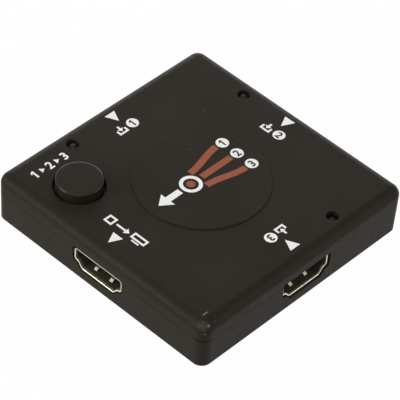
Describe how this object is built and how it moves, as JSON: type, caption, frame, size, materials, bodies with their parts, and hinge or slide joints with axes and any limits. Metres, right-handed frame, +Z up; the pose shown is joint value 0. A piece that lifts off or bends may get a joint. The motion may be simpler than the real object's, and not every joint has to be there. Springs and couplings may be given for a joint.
{
  "type": "video switch box",
  "caption": "Flat square video selector box with a plug socket in the middle of each side, a round push button near one corner, small indicator lamps and a round raised pad on top.",
  "frame": {"origin": "centre of the flat underside", "axes": "+Z up through the roof, -X towards the output side, -Y towards the third input"},
  "size_m": [0.065, 0.065, 0.0154],
  "materials": {
    "case_plastic": "fine matt moulded texture",
    "button_plastic": "satin moulded",
    "screw_steel": "blackened",
    "board_laminate": "solder mask",
    "socket_nickel": "bright nickel plate",
    "socket_plastic": "moulded",
    "contact_gold": "gold plate",
    "switch_plastic": "moulded",
    "switch_steel": "satin",
    "lead_tin": "tin plate",
    "lamp_resin": "tinted clear resin",
    "chip_plastic": "moulded",
    "ceramic": "fired ceramic",
    "can_aluminium": "plain",
    "white_print": "screen-printed ink",
    "brick_print": "screen-printed ink"
  },
  "bodies": {
    "case": {"upper_shell": "case_plastic", "lower_shell": "case_plastic", "case_screws": "screw_steel", "main_board": "board_laminate", "input_1_socket_shell": "socket_nickel", "input_2_socket_shell": "socket_nickel", "input_3_socket_shell": "socket_nickel", "output_socket_shell": "socket_nickel", "input_1_socket_block": "socket_plastic", "input_2_socket_block": "socket_plastic", "input_3_socket_block": "socket_plastic", "output_socket_block": "socket_plastic", "input_1_socket_contacts": "contact_gold", "input_2_socket_contacts": "contact_gold", "input_3_socket_contacts": "contact_gold", "output_socket_contacts": "contact_gold", "switch_base": "switch_plastic", "switch_cover": "switch_steel", "switch_dome": "switch_steel", "switch_terminals": "lead_tin", "lamp_1": "lamp_resin", "lamp_2": "lamp_resin", "lamp_3": "lamp_resin", "lamp_leads": "lead_tin", "switching_chip": "chip_plastic", "switching_chip_leads": "lead_tin", "control_chip": "chip_plastic", "control_chip_leads": "lead_tin", "regulator": "chip_plastic", "regulator_leads": "lead_tin", "supply_diodes": "chip_plastic", "bulk_capacitor_can": "can_aluminium", "bulk_capacitor_base": "chip_plastic", "ceramic_capacitors": "ceramic", "resistors": "chip_plastic", "metal_ends": "lead_tin"},
    "select_button": {"select_button": "button_plastic"},
    "switch_plunger": {"switch_plunger": "switch_plastic"}
  },
  "joints": [
    {"name": "button_press", "type": "slide", "parent": "case", "child": "select_button", "axis": [0, 0, -1], "range_m": [0, 0.0003], "stiffness_N_per_m": 5300},
    {"name": "plunger_press", "type": "slide", "parent": "case", "child": "switch_plunger", "axis": [0, 0, -1], "range_m": [0, 0.0003], "deforming": ["switch_dome"]}
  ],
  "couplings": [
    {"joint": "plunger_press", "follows": "button_press", "ratio": 1}
  ]
}
